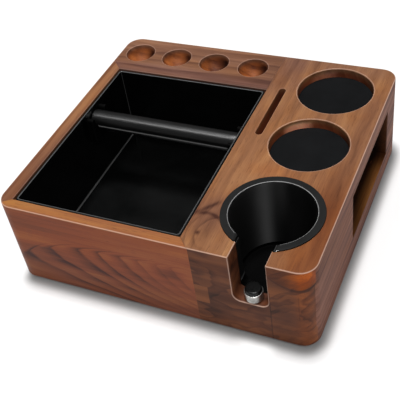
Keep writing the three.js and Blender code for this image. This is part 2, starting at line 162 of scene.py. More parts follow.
class Form:
    """A mesh of rounded prisms and turned shapes, in millimetres. Its edge value marks the pale edges,
    partly wear and partly painted highlight.
    """

    def __init__(self, place=lambda x, y, z: (x, y, z)):
        self.bm = bmesh.new()
        self.edge = self.bm.verts.layers.float.new("edge")
        self.place = place

    def point(self, x, y, z, edge=0.0):
        vert = self.bm.verts.new(Vector(self.place(x, y, z)) * MM)
        vert[self.edge] = edge
        return vert

    def ring(self, points, z, edge=0.0):
        """A ring of points. edge is one value, or one for each point."""
        edges = edge if isinstance(edge, list) else [edge] * len(points)
        return [self.point(x, y, z, e) for (x, y), e in zip(points, edges)]

    def skin(self, rings):
        for a, b in zip(rings, rings[1:]):
            for i in range(len(a)):
                j = (i + 1) % len(a)
                self.bm.faces.new((a[i], a[j], b[j], b[i]))

    def cap(self, *loops):
        verts = [v for loop in loops for v in loop]
        for tri in tessellate_polygon([[v.co for v in loop] for loop in loops]):
            self.bm.faces.new([verts[i] for i in tri])

    def fan(self, ring, x, y, z):
        tip = self.point(x, y, z)
        for i in range(len(ring)):
            self.bm.faces.new((ring[i], ring[(i + 1) % len(ring)], tip))

    def prism(self, loop, z0, z1, top=0.0, bottom=0.0, holes=()):
        """A prism with rounded rims. A hole is ([(points, z, edge), ...] from the top down, its end)."""
        rounds = quarter(4)
        levels = [] if bottom else [(0, z0, 0)]
        for a in rounds if bottom else ():
            levels.append((bottom * (1 - math.sin(a)), z0 + bottom * (1 - math.cos(a)), math.sin(2 * a)))
        for a in rounds if top else ():
            levels.append((top * (1 - math.cos(a)), z1 - top * (1 - math.sin(a)), math.sin(2 * a)))
        if not top:
            levels.append((0, z1, 0))
        shares = [max(loop[i - 1][2], loop[i][2]) for i in range(len(loop))]
        rings = [self.ring(inset(loop, d), z, [e * share for share in shares]) for d, z, e in levels]
        self.skin(rings)
        tops, bottoms = [rings[-1]], [rings[0]]
        for hole, end in holes:
            walls = [self.ring(*level) for level in hole]
            self.skin(walls)
            tops.append(walls[0])
            if end == "through":
                bottoms.append(walls[-1])
            elif end == "flat":
                self.cap(walls[-1])
            else:
                self.fan(walls[-1], *end)
        self.cap(*tops)
        self.cap(*bottoms)

    def turned(self, profile, n=64, twist=None, lines=()):
        """Turns (r, z) or (r, z, edge) points about the z axis. A point with r = 0 closes the form.
        twist(angle, z) is added to the radius, and lines are the steps that are painted pale all along."""
        rings, tips = [], []
        for r, z, *edge in profile:
            if r == 0:
                tips.append((len(rings), z))
            else:
                turn = [2 * math.pi * i / n for i in range(n)]
                reach = [r + twist(a, z) if twist else r for a in turn]
                edges = [1.0 if i in lines else sum(edge) for i in range(n)]
                points = [(q * math.cos(a), q * math.sin(a)) for a, q in zip(turn, reach)]
                rings.append(self.ring(points, z, edges))
        self.skin(rings)
        if not tips:
            self.skin([rings[-1], rings[0]])
        for where, z in tips:
            self.fan(rings[0] if where == 0 else rings[-1], 0, 0, z)

    def mesh(self, name, sharp=40):
        bmesh.ops.recalc_face_normals(self.bm, faces=self.bm.faces)
        mesh = bpy.data.meshes.new(name)
        self.bm.to_mesh(mesh)
        self.bm.free()
        smooth(mesh, sharp)
        return mesh

    def piece(self, name, body, looks, slot, node):
        add_piece(self.mesh(name), body, looks, node)


def smooth(mesh, sharp):
    mesh.shade_smooth()
    mesh.set_sharp_from_angle(angle=math.radians(sharp))


def add_piece(mesh, body, looks, node):
    """Adds the mesh for a CAD node. looks is a material, or (materials, rule), where the rule gives
    a face's material from its centre in millimetres and its normal."""
    piece = bpy.data.objects.new(mesh.name, mesh)
    bpy.context.scene.collection.objects.link(piece)
    mesh.materials.clear()
    materials, rule = looks if isinstance(looks, tuple) else ([looks], lambda centre, normal: looks)
    for material in materials:
        mesh.materials.append(material)
    for face in mesh.polygons:
        face.material_index = materials.index(rule(face.center / MM, face.normal))
    weights = piece.modifiers.new("normals", "WEIGHTED_NORMAL")
    weights.keep_sharp = True
    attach(piece, body)
    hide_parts(node)


def blind_hole(loop, floor, rim, wear_and_highlight=0.7):
    """A flat-bottomed hole down from the top, with a rounded rim. The loop runs clockwise."""
    levels = [(inset(loop, rim + RIM_RING), TOP, 0.0)]
    # The rim's edge value paints it pale: partly wear, partly painted highlight
    for a in quarter(4):
        wider = inset(loop, rim * (1 - math.sin(a)))
        levels.append((wider, TOP - rim * (1 - math.cos(a)), wear_and_highlight * math.cos(a)))
    return levels + [([p[:2] for p in loop], floor, 0.0)], "flat"


def bowl_hole(cx, cy, r, depth, rim=0.7, wear_and_highlight=0.6, n=48, rings=14):
    """A round-bottomed hole with a rounded rim."""
    ball = (r * r + depth * depth) / (2 * depth)
    centre = TOP + ball - depth
    profile = [(r + rim + RIM_RING, TOP, 0.0)]
    # The rim's edge value paints it pale: partly wear, partly painted highlight
    for a in quarter(4):
        profile.append((r + rim * (1 - math.sin(a)), TOP - rim * (1 - math.cos(a)), wear_and_highlight * math.cos(a)))
    start = math.acos((centre - profile[-1][1]) / ball)
    for i in range(1, rings):
        a = start * (1 - i / rings)
        profile.append((ball * math.sin(a), centre - ball * math.cos(a), 0.0))
    turn = [-2 * math.pi * i / n for i in range(n)]
    levels = [([(cx + q * math.cos(a), cy + q * math.sin(a)) for a in turn], z, e) for q, z, e in profile]
    return levels, (cx, cy, TOP - depth)


# Node trees
class Num:
    """A number in a node tree, whose arithmetic adds Math nodes."""

    def __init__(self, look, socket):
        self.look, self.socket = look, socket

    def calc(self, operation, *others):
        made = self.look.node("ShaderNodeMath", operation=operation)
        for socket, value in zip(made.inputs, (self, *others)):
            self.look.feed(socket, value)
        return Num(self.look, made.outputs[0])

    def __add__(self, other):
        return self.calc("ADD", other)

    def __sub__(self, other):
        return self.calc("SUBTRACT", other)

    def __mul__(self, other):
        return self.calc("MULTIPLY", other)

    def __truediv__(self, other):
        return self.calc("DIVIDE", other)

    def above(self, low):
        """How far it is above low, or 0."""
        return (self - low).calc("MAXIMUM", 0.0)

    def rise(self, low, high):
        """0 up to low and 1 from high on, smooth between them. low may be above high."""
        made = self.look.node("ShaderNodeMapRange", interpolation_type="SMOOTHSTEP")
        for key, value in (("Value", self), ("From Min", low), ("From Max", high)):
            self.look.feed(made.inputs[key], value)
        return Num(self.look, made.outputs["Result"])

    def hump(self, middle, width):
        """1 at the middle, falling off to both sides."""
        off = (self - middle) / width
        return (off * off * -1.0).calc("EXPONENT")


class Look:
    """A material whose nodes are added with short calls. x, y and z are in millimetres."""

    def __init__(self, name):
        self.mat = bpy.data.materials.new(name)
        self.mat.use_nodes = True
        self.tree = self.mat.node_tree
        self.bsdf = self.tree.nodes["Principled BSDF"]
        spot = self.node("ShaderNodeTexCoord").outputs["Object"]
        parts = self.node("ShaderNodeSeparateXYZ", {0: spot}).outputs
        self.x, self.y, self.z = [Num(self, part) * 1000.0 for part in parts]

    def node(self, kind, inputs=None, **settings):
        made = self.tree.nodes.new(kind)
        for key, value in settings.items():
            setattr(made, key, value)
        for key, value in (inputs or {}).items():
            self.feed(made.inputs[key], value)
        return made

    def feed(self, socket, value):
        if isinstance(value, Num):
            value = value.socket
        if isinstance(value, bpy.types.NodeSocket):
            self.tree.links.new(value, socket)
        elif isinstance(value, tuple) and len(value) == 3 and len(socket.default_value) == 4:
            socket.default_value = (*value, 1)
        else:
            socket.default_value = value

    def noise(self, place, detail=3.0, rough=0.5):
        """Noise at (a, b, c), a point counted in the noise's own cells."""
        joined = self.node("ShaderNodeCombineXYZ", dict(enumerate(place))).outputs[0]
        inputs = {"Vector": joined, "Scale": 1.0, "Detail": detail, "Roughness": rough}
        return Num(self, self.node("ShaderNodeTexNoise", inputs).outputs["Fac"])

    def ramp(self, value, *stops):
        made = self.node("ShaderNodeValToRGB", {"Fac": value})
        points = made.color_ramp.elements
        while len(points) < len(stops):
            points.new(0.5)
        for point, (place, colour) in zip(points, stops):
            point.position = place
            point.color = (*colour, 1)
        return made.outputs["Color"]

    def curve(self, value, *stops):
        """A number from a number, by straight lines between (place, height) stops."""
        return Num(self, self.ramp(value, *[(place, (height,) * 3) for place, height in stops]))

    def blend(self, share, a, b, mode="MIX"):
        made = self.node("ShaderNodeMix", data_type="RGBA", blend_type=mode)
        for index, value in ((0, share), (6, a), (7, b)):
            self.feed(made.inputs[index], value)
        return made.outputs[2]

    def bump(self, height, distance, strength=0.5):
        inputs = {"Height": height, "Distance": distance, "Strength": strength}
        return self.node("ShaderNodeBump", inputs).outputs[0]

    def wear_and_highlight(self):
        """The mesh's edge value."""
        return Num(self, self.node("ShaderNodeAttribute", attribute_name="edge").outputs["Fac"])

    def set(self, **inputs):
        """Feeds the shader's sockets, named with _ for a space."""
        for key, value in inputs.items():
            self.feed(self.bsdf.inputs[key.replace("_", " ")], value)
        return self.mat


def srgb(r, g, b):
    """A colour given as 0 to 255 in sRGB, as linear light."""
    parts = [c / 255 for c in (r, g, b)]
    return tuple(c / 12.92 if c < 0.04045 else ((c + 0.055) / 1.055) ** 2.4 for c in parts)


# Walnut: rings(look) gives (ring count, strength of the ring lines, extra darkness) at a point
def walnut(name, grain, dark, mid, light, seed, rings, tint_and_light=None, wander=1.6, contrast=1.0,
           shine=0.16, patchy=0.7, fine=1.0, stretch=1.0):
    """Oiled walnut with the grain along an axis. tint(look) lists (share, colour) pairs that are multiplied
    in, for the wood's tone and for painted light and shade, and stretch scales the length of the broad
    figure."""
    look = Look(name)
    along, across, depth = {"X": (look.x, look.y, look.z), "Y": (look.y, look.x, look.z)}[grain]
    shift = seed * 31.7

    def cells(length, width, detail, rough=0.5, start=shift):
        """Noise whose cells have this length along the grain and this width across it, in millimetres."""
        return look.noise((along / length + start, across / width, depth / width), detail, rough)

    count, strength, shade = rings(look)
    count = count + (cells(130 * stretch, 30, 2.0) - 0.5) * wander
    year = count.calc("FRACT")
    late = look.curve(year, (0.0, 0.0), (0.35, 0.05), (0.74, 0.65), (0.88, 1.0), (0.97, 0.3), (1.0, 0.0))
    mark = cells(60, 9, 2.0).rise(0.3, 0.62)
    fibre = cells(40, 0.9, 4.0, 0.6)
    streak = cells(100 * stretch, 4, 2.0)
    broad = cells(160 * stretch, 14, 3.0)
    figure = (broad - 0.5) * 1.3 + ((streak - 0.5) + (fibre - 0.5)) * (0.6 * fine)
    tone = figure * contrast + 0.6 - late * strength * (mark * patchy + (1 - patchy)) - shade
    colour = look.ramp(tone, (0.05, dark), (0.55, mid), (0.95, light))
    golden = (1.04, 0.94, 0.72)
    gold = cells(70 * stretch, 16, 2.0, start=shift + 9).rise(0.42, 0.68)
    colour = look.blend(gold * 0.6, colour, golden, "MULTIPLY")
    for share, wash in tint_and_light(look) if tint_and_light else ():
        colour = look.blend(share, colour, wash, "MULTIPLY")
    pores = cells(7, 0.42, 2.0, 0.4).rise(0.40, 0.30)
    colour = look.blend(pores * 0.4, colour, dark)
    # Pale edges: partly bare wood worn through, partly a painted highlight on the roundings
    wear_and_highlight = look.wear_and_highlight()
    wear_and_highlight = wear_and_highlight * wear_and_highlight
    bare_wood_and_highlight = srgb(228, 190, 170)
    colour = look.blend(wear_and_highlight * 0.7, colour, bare_wood_and_highlight)
    rough = (fibre * 0.2 + 0.44) - wear_and_highlight * 0.15
    relief = look.bump(fibre * 0.5 - pores, 0.00005)
    return look.set(Base_Color=colour, Roughness=rough, Normal=relief, Specular_IOR_Level=shine)


def plain_rings(pitch, across="x", slope=0.3, strength=0.3):
    """Straight rings, seen as lines along the grain."""
    def rings(look):
        side, up = (getattr(look, across), look.z) if across != "z" else (look.z, look.y)
        return (side + up * slope) / pitch, strength, 0.0
    return rings


def deck_rings(look):
    """Straight lines that swing round a small knot, with two dark streaks behind it."""
    x, y = look.x, look.y
    knot = x.hump(37.5, 12) * y.hump(-100, 18)
    heart = x.hump(36.6, 1.5) * y.hump(-101.8, 2.0)
    slanted = (y + 84) * 0.68 - (x - 27) * 0.733
    first = slanted.hump(0, 2.0) * x.rise(25, 28) * x.rise(43, 39)
    bowed = y + 82 + (x - 37) * (x - 37) * 0.04
    second = bowed.hump(0, 1.8) * x.rise(28, 32) * x.rise(52, 47)
    count = (x + look.z * 0.5) / 10 + knot * 1.6
    return count, knot * 0.2 + 0.14, heart * 0.5 + first * 0.36 + second * 0.36


def deck_tint_and_light(look):
    """More orange wood round the cup, browner wood at the knot and the rear, and painted shade that makes
    the recesses darker and redder, with a painted highlight streak on the walls at the back left of the
    coasters and painted shade on the side opposite."""
    x, y = look.x, look.y
    right = x.rise(84, 114) * y.rise(10, -60)
    gold = x.hump(66, 18) * y.hump(-28, 9)
    strip = x.rise(96, 120) * y.rise(-40, 0) * y.rise(100, 75)
    brown = x.rise(60, 42) * (y.rise(-52, -76) * y.rise(-106, -86) + y.rise(50, 84))
    rear = y.rise(88, 114)
    recess = look.z.rise(TOP - 0.8, TOP - 6)
    between = (COASTER_Y + REAR_COASTER_Y) / 2
    front = y.rise(between + 0.1, between - 0.1)
    axis_y = y.rise(between - 0.1, between + 0.1) * (REAR_COASTER_Y - COASTER_Y) + COASTER_Y
    way_x, way_y = -0.574, 0.819  # from a coaster's middle to the painted highlight streak
    turn = ((x - COASTER_X) * way_x + (y - axis_y) * way_y) / COASTER_R
    highlight_walls = recess * x.rise(48, 50)
    return [
        (right, (0.66, 0.47, 0.34)),
        (gold, (1.0, 0.84, 0.7)),
        (strip, (0.82, 0.79, 0.84)),
        (brown, (0.8, 0.8, 0.96)),
        (rear, (0.86, 0.9, 1.06)),
        # Painted shade in the recesses, a painted highlight on the coasters' back-left walls and painted
        # shade on their opposite side
        (recess, (0.72, 0.46, 0.44)),
        (highlight_walls * turn.rise(0.1, 0.9), (1.35, 1.3, 1.3)),
        (highlight_walls * turn.rise(0.9, 1.0) * (front * 0.75 + 0.25), (4.4, 6.6, 9.5)),
        (recess * turn.rise(0.3, -0.3), (0.6, 0.95, 1.1)),
    ]


def niche_painted_shade(look):
    """Painted shade: darker away from the compartment's opening, at its rear and on the front of its floor.
    """
    floor = look.z.rise(PLINTH_Z + 2, PLINTH_Z + 1)
    return [
        (look.x.rise(RIGHT + 3, RIGHT - 10), (0.04, 0.03, 0.02)),
        (look.y.rise(55, 80), (0.2, 0.16, 0.13)),
        (floor * look.y.rise(40, -10), (0.35, 0.32, 0.3)),
    ]


def left_tint(look):
    """Darker, redder wood towards the front."""
    return [(look.y.rise(20, -100), (0.7, 0.66, 0.77))]


def well_row(look):
    """1 between the front and the back of the row of wells."""
    front, back = WELL_Y - WELL_R, WELL_Y + WELL_R
    return look.y.rise(front - 1.2, front + 0.8) * look.y.rise(back + 1.1, back - 0.4)


def rail_rings(look):
    """Straight rings, darker in the third well and towards the right end."""
    third = look.x.hump(-30, 13) * look.z.rise(TOP - 1, TOP - 6) * well_row(look)
    return (look.y + look.z * 0.8) / 11, 0.3, third * 0.46 + look.x.rise(-10, 27) * 0.1


def rail_tint_and_light(look):
    """Darker wood along the front, and orange in the wells, partly the grain's own colour and partly
    painted light, with painted shade on their right.
    """
    inside = look.z.rise(TOP - 0.8, TOP - 5) * well_row(look) * look.x.rise(LEFT + 5, LEFT + 6.5)
    along = ((look.x - WELL_X) / WELL_PITCH + 0.5).calc("FRACT")
    shaded = along.rise(0.44, 0.72) * 0.75 + (look.y - WELL_Y).rise(-2, 10) * 0.25
    return [
        (look.y.rise(84, 76), (0.74, 0.72, 0.88)),
        # Painted light brightens the wells' orange, and painted shade darkens their right side
        (inside, (1.42, 0.9, 0.42)),
        (inside * shaded, (0.08, 0.06, 0.1)),
    ]


def flame_rings(look):
    """Arrowheads that point left and trail down to the right, under a plain upper third."""
    x, z = look.x, look.z
    tip = ((x + 106) / -32).calc("EXPONENT") * -20 + 54
    below, over = tip.above(z), z.above(tip)
    trail = below * 0.62 + below * below * below * 0.0005 + over * over * 0.9
    sway = look.noise((x / 34, 4.0, z / 15), 2.0) - 0.5
    tips = (-130, -106, -82, -56, -40, -20, -7, 8, 20)
    first, reach, last = tips[0], tips[-1] - tips[0], len(tips) - 1
    place = (x - trail + sway * 8 - first) / reach
    count = look.curve(place, *[((at - first) / reach, i / last) for i, at in enumerate(tips)]) * last
    smudge = x.hump(17, 11) * z.hump(47, 5.5)
    strength = x.rise(-30, -90) * 0.05 - x.rise(-22, 12) * 0.3 + 0.44
    return count, over.rise(7, 1) * strength + 0.04, smudge * 0.35


def flame_tint_and_light(look):
    """Golden wood at the left end, painted light that makes the top face lighter and more golden, and
    darker, greyer colour towards the bottom.
    """
    return [
        (look.x.rise(-70, -118) * 0.5, (1.0, 1.0, 0.8)),
        # Painted light on the top face
        (look.z.rise(TOP - 1.5, TOP - 0.5), (1.1, 1.5, 1.3)),
        (look.z.rise(42, 14), (0.76, 0.88, 1.04)),
    ]


def block_rings(look):
    """A glued patchwork: each block has its own rings and tone."""
    x, y, z = look.x, look.y, look.z
    joint_x, lap_x = 93, 114
    right = x.rise(joint_x - 0.2, joint_x + 0.2)
    finger = x.rise(46.4, 46.0) * z.rise(24.8, 25.2) * z.rise(43.2, 42.8)
    lap = x.hump(lap_x, 0.4) * z.rise(30, 32) * z.rise(57, 55)
    joint = x.hump(joint_x, 0.4) * z.rise(54, 52) + lap * 0.5
    patch = x.hump(111, 8) * z.hump(50.5, 4) + x.hump(50, 8) * z.hump(18.5, 2.2)
    under = x.hump(74, 17) * z.rise(35, 29)
    swirl = look.noise((x / 34 + right * 5, y / 34, (z - x * right * 0.6) / 18), 2.0)
    count = swirl * 4.0 + finger * 1.7
    return count, finger * -0.2 + 0.34, patch * 0.3 + joint * 0.3 - finger * 0.36 - under * 0.14


def block_tint(look):
    """An orange band over a dark curved line, right of the notch, and a more orange corner."""
    x, right = look.x, look.x.rise(90, 91)
    line = (x - 112) * (x - 112) * 0.0216 + 63
    over = look.z - line
    band = over.rise(-0.5, 0.5)
    return [
        (right * band, (0.74, 0.6, 0.43)),
        (x.rise(100, 116) * band, (2.5, 2.2, 0.73)),
        (right * over.hump(-1.3, 1.2), (0.55, 0.5, 0.5)),
        (x.rise(106, 118), (1.4, 1.25, 0.97)),
    ]


def uneven(colour, low, high):
    """Ramp stops between a darker and a lighter tone of a colour."""
    return (0.3, tuple(c * low for c in colour)), (0.7, tuple(c * high for c in colour))


def moulded(name, colour, rough, grain=0.00003, cell=0.5, wear_and_highlight_grey=0.05, shine=0.15, turned=False, painted_shade_and_gloss=None):
    """Black moulded plastic or rubber: fine grain, uneven gloss and paler edges, partly wear and partly
    painted highlights. A turned one has fine grooves round the z axis, which draw its highlights out up and
    down. clean(look) gives where its colour is painted darker, as shade, and it is smoother, and shine is a
    number or a function of the look."""
    look = Look(name)
    fine = look.noise((look.x / cell, look.y / cell, look.z / cell), 2.0)
    cloud = look.noise((look.x / 22, look.y / 22, look.z / 22), 4.0, 0.6)
    shade = look.ramp(cloud, *uneven(colour, 0.75, 1.25))
    # Pale edges: partly wear, partly painted highlight lines
    wear_and_highlight = look.wear_and_highlight()
    shade = look.blend(wear_and_highlight * wear_and_highlight, shade, (wear_and_highlight_grey, wear_and_highlight_grey, wear_and_highlight_grey))
    gloss = cloud * 0.1 + (rough - 0.05)
    # Painted shade: the colour is darkened where clean(look) is high
    if painted_shade_and_gloss:
        share = painted_shade_and_gloss(look)
        shade = look.blend(share * 0.7, shade, (0.0, 0.0, 0.0))
        gloss = gloss - share * 0.06
    if turned:
        around = look.node("ShaderNodeTangent", direction_type="RADIAL", axis="Z").outputs[0]
        look.set(Anisotropic=0.9, Anisotropic_Rotation=0.25, Tangent=around, IOR=1.75)
    look.set(Specular_IOR_Level=shine(look) if callable(shine) else shine)
    return look.set(Base_Color=shade, Roughness=gloss, Normal=look.bump(fine, grain))


def metal(name, colour, rough):
    """Turned metal with fine tool lines round it."""
    look = Look(name)
    lines = look.noise((look.x / 3, look.y / 3, look.z / 0.25), 3.0)
    smear = look.noise((look.x / 4, look.y / 4, look.z / 4), 3.0)
    look.set(Base_Color=look.ramp(smear, *uneven(colour, 0.75, 1.0)), Metallic=1.0)
    return look.set(Roughness=lines * 0.15 + rough, Normal=look.bump(lines, 0.00002))


WOOD_DECK = walnut(
    "walnut_deck", "Y", srgb(78, 44, 29), srgb(146, 99, 67), srgb(184, 133, 88), 1.0,
    deck_rings, deck_tint_and_light, contrast=0.55, stretch=0.45,
)
WOOD_RAIL = walnut(
    "walnut_rail", "X", srgb(84, 52, 40), srgb(134, 93, 71), srgb(164, 120, 94), 2.0,
    rail_rings, rail_tint_and_light, contrast=0.9,
)
WOOD_LEFT = walnut(
    "walnut_left", "Y", srgb(100, 58, 38), srgb(143, 96, 66), srgb(170, 122, 86), 3.0,
    plain_rings(8, "x", 0.7), left_tint, contrast=0.7,
)
WOOD_FRONT = walnut(
    "walnut_front", "X", srgb(74, 41, 35), srgb(148, 79, 52), srgb(182, 111, 66), 4.0,
    flame_rings, flame_tint_and_light, wander=0.4, contrast=0.6, patchy=0.35,
)
WOOD_BLOCK = walnut(
    "walnut_block", "X", srgb(44, 24, 17), srgb(98, 56, 37), srgb(140, 86, 54), 5.0,
    block_rings, block_tint, wander=0.8, contrast=0.95, fine=0.5,
)
WOOD_SIDE = walnut(
    "walnut_side", "Y", srgb(80, 49, 44), srgb(133, 89, 74), srgb(158, 112, 95), 6.0,
    plain_rings(7, "z", 0.03, 0.35), contrast=1.1, shine=0.04,
)
WOOD_INNER = walnut(
    "walnut_inner", "Y", srgb(96, 58, 32), srgb(150, 98, 56), srgb(180, 126, 78), 7.0,
    plain_rings(9, "x"),
)
WOOD_NICHE = walnut(
    "walnut_niche", "Y", srgb(100, 56, 28), srgb(168, 106, 54), srgb(196, 134, 76), 8.0,
    plain_rings(9, "x"), niche_painted_shade,
)
BIN = moulded("bin_plastic", (0.0017, 0.0019, 0.0019), 0.24, grain=0.00001, wear_and_highlight_grey=0.12, shine=0.5)
# The floor's colour is painted darker towards its rear, as shade under and behind the bar
BIN_FLOOR = moulded(
    "bin_floor", (0.0024, 0.0026, 0.0026), 0.23, grain=0.00001, wear_and_highlight_grey=0.12, shine=0.5,
    painted_shade_and_gloss=lambda look: look.y.rise(-10, 35),
)
BIN_DULL = moulded("bin_outside", (0.003, 0.0033, 0.0033), 0.5, wear_and_highlight_grey=0.12, shine=0.08)
FITTING = moulded("bar_plastic", (0.0025, 0.0025, 0.0025), 0.45, wear_and_highlight_grey=0.006, shine=0.03)
RUBBER = moulded("bar_rubber", (0.004, 0.004, 0.004), 0.3, grain=0.000004, wear_and_highlight_grey=0.5, shine=1.0)
CUP = moulded(
    "cup_plastic", (0.001, 0.001, 0.0011), 0.42, wear_and_highlight_grey=0.4, turned=True,
    shine=lambda look: look.x.rise(CUP_X - 8, CUP_X - 17) * 0.65 + 0.25,
)
CUP_RIM = moulded("cup_rim", (0.012, 0.012, 0.0118), 0.55, wear_and_highlight_grey=0.5)
CUP_LIP = moulded("cup_lip", (0.004, 0.004, 0.004), 0.12, grain=0.000004, shine=1.0)
CUP_DULL = moulded("cup_dull", (0.0012, 0.0012, 0.0012), 0.5, shine=0.03)
PAD = moulded("coaster_pad", (0.0064, 0.0068, 0.0074), 0.8, grain=0.00008, cell=1.1, shine=0.08)
CAP = moulded("cap_rubber", (0.003, 0.003, 0.003), 0.28, grain=0.00001, shine=0.25)
FOOT = moulded("foot_rubber", (0.012, 0.012, 0.012), 0.7)
STEEL = metal("screw_steel", (0.5, 0.49, 0.47), 0.26)
ROD = metal("rod_steel", (0.6, 0.6, 0.58), 0.28)
BRASS = metal("insert_brass", (0.6, 0.42, 0.16), 0.3)

# Walnut boards of the left side
MITRE_F = BAY_F - FRONT
ARC_FL = (LEFT + CORNER, FRONT + CORNER, CORNER)
ARC_BL = (LEFT + CORNER, BACK - CORNER, CORNER)
ARC_FR = (RIGHT - CORNER, FRONT + CORNER, CORNER)
ARC_BR = (RIGHT - CORNER, BACK - CORNER, CORNER)
CORNER_FL = on_corner((BAY_L, BAY_F), (LEFT, FRONT), *ARC_FL)
CORNER_BL = on_corner((BAY_L, BACKBOARD_F), (LEFT, BACK), *ARC_BL)


def seam(points):
    """The points with the last edge marked as a seam."""
    return points[:-1] + [(*points[-1][:2], SEAM)]


def left_board():
    form = Form()
    front_half = seam(arc(*ARC_FL, 180, CORNER_FL, 8))
    inner = [(BAY_L, BAY_F, SOFT), (BAY_L, BAY_B, SEAM), (LEFT, BAY_B + BAY_L - LEFT, 1)]
    form.prism(inner + front_half, RAIL_Z, TOP, top=EDGE)
    rear_half = arc(*ARC_BL, CORNER_BL, 180, 8)
    lower = [(BAY_L, BAY_F, SEAM), (BAY_L, BACKBOARD_F, SEAM)] + rear_half + front_half
    form.prism(lower, BOTTOM, RAIL_Z, bottom=EDGE)
    form.piece("left_board_wood", "station", WOOD_LEFT, "walnut_frame", "left_board")


def front_board():
    form = Form()
    loop = arc(*ARC_FL, CORNER_FL, 270, 8)
    loop += [(BAY_R + MITRE_F, FRONT, SEAM), (BAY_R, BAY_F, SOFT), (BAY_L, BAY_F, SEAM)]
    form.prism(loop, BOTTOM, TOP, top=EDGE, bottom=EDGE)
    form.piece("front_board_wood", "station", WOOD_FRONT, "walnut_front", "front_board")


def back_board():
    form = Form()
    corner = seam(arc(*ARC_BL, 90, CORNER_BL, 8))
    loop = [(BAY_L, BACKBOARD_F, SEAM), (BAY_R, BACKBOARD_F, SEAM), (BAY_R, BACK, 1)] + corner
    form.prism(loop, BOTTOM, RAIL_Z, bottom=EDGE)
    form.piece("back_board_wood", "station", WOOD_RAIL, "walnut_frame", "back_board")


def well_rail():
    form = Form()
    loop = [(BAY_L, BAY_B, SOFT), (BAY_R, BAY_B, SEAM), (BAY_R, BACK, 1)] + arc(*ARC_BL, 90, 180, 12)
    loop.append((LEFT, BAY_B + BAY_L - LEFT, SEAM))
    wells = [bowl_hole(WELL_X + i * WELL_PITCH, WELL_Y, WELL_R, WELL_DEPTH) for i in range(4)]
    form.prism(loop, RAIL_Z, TOP, top=EDGE, holes=wells)
    form.piece("well_rail_wood", "station", WOOD_RAIL, "walnut_rail", "well_rail")


# Walnut boards of the right side
RIGHT_WOODS = [WOOD_BLOCK, WOOD_SIDE, WOOD_RAIL, WOOD_NICHE, WOOD_DECK]
NOTCH_L = NOTCH_X - NOTCH / 2
NOTCH_R = NOTCH_X + NOTCH / 2


def bore_arc():
    """The cup's bore, from the notch's left side round the back to its right side."""
    start = 270 - math.degrees(math.asin((CUP_X - NOTCH_L) / BORE))
    end = math.degrees(math.asin((NOTCH_R - CUP_X) / BORE)) - 90
    return arc(CUP_X, CUP_Y, BORE, start, end, 96, 0.25)


def deck_panel():
    form = Form()
    loop = [(BAY_R + MITRE_F, FRONT, 1)]
    loop += arc(NOTCH_L - EDGE, FRONT + EDGE, EDGE, 270, 360, 4)
    loop += bore_arc()[:-1] + [(*bore_arc()[-1][:2], 1)]
    loop += arc(NOTCH_R + EDGE, FRONT + EDGE, EDGE, 180, 270, 4)
    loop += arc(*ARC_FR, 270, 360, 12) + arc(*ARC_BR, 0, 90, 12)
    loop += [(BAY_R, BACK, SEAM), (BAY_R, BAY_B, SOFT), (BAY_R, BAY_F, SEAM)]
    holes = []
    for node in PADS:
        x, y, _, (floor, _) = upright(node)
        holes.append(blind_hole(circle(x, y, COASTER_R), floor, 0.9))
    r, (y0, y1) = SLOT_HALF, SLOT_Y
    slot = arc(SLOT_X, y0 + r, r, 0, -180, 10) + arc(SLOT_X, y1 - r, r, 180, 0, 10)
    holes.append(blind_hole(slot, SLOT_Z, 0.7, 0.4))
    form.prism(loop, DECK_Z, TOP, top=EDGE, holes=holes)
    # The notch's front corners get pale edges too, partly wear and partly painted highlight
    for vert in form.bm.verts:
        x, y, _ = vert.co / MM
        out, ahead = abs(x - NOTCH_X) - NOTCH / 2 - EDGE, FRONT + EDGE - y
        if out < 0 < ahead:
            vert[form.edge] = max(vert[form.edge], -2 * out * ahead / EDGE ** 2)
    form.piece("deck_wood", "station", (RIGHT_WOODS, deck_look), "walnut_deck", "deck_panel")


def outer_look(centre, normal):
    """The block's look on the front, the side look on the right and the rail's look on the back."""
    across = normal.xy.normalized()
    if across.y > max(across.x, 0.3) and centre.y > BACK - CORNER - 1:
        return WOOD_RAIL
    side = centre.x > RIGHT - CORNER and across.x > (0.3 if centre.y > BLOCK_B else 0.9)
    return WOOD_SIDE if side else WOOD_BLOCK


def deck_look(centre, normal):
    """The deck's own look on top and in its recesses."""
    outer = outer_look(centre, normal)
    recess = centre.y > BLOCK_B - 12 and outer == WOOD_BLOCK
    return WOOD_DECK if normal.z > 0.35 or recess else outer


def block_look(centre, normal):
    """The inner look on the compartment's front wall."""
    inner = normal.y > 0.5 and centre.y > BLOCK_B - 2
    return WOOD_NICHE if inner else outer_look(centre, normal)


def plinth_look(centre, normal):
    """The inner look on the compartment's floor."""
    return WOOD_NICHE if normal.z > 0.5 else outer_look(centre, normal)


def rear_look(centre, normal):
    """The inner look on the compartment's rear wall."""
    return WOOD_NICHE if normal.y < -0.5 else outer_look(centre, normal)


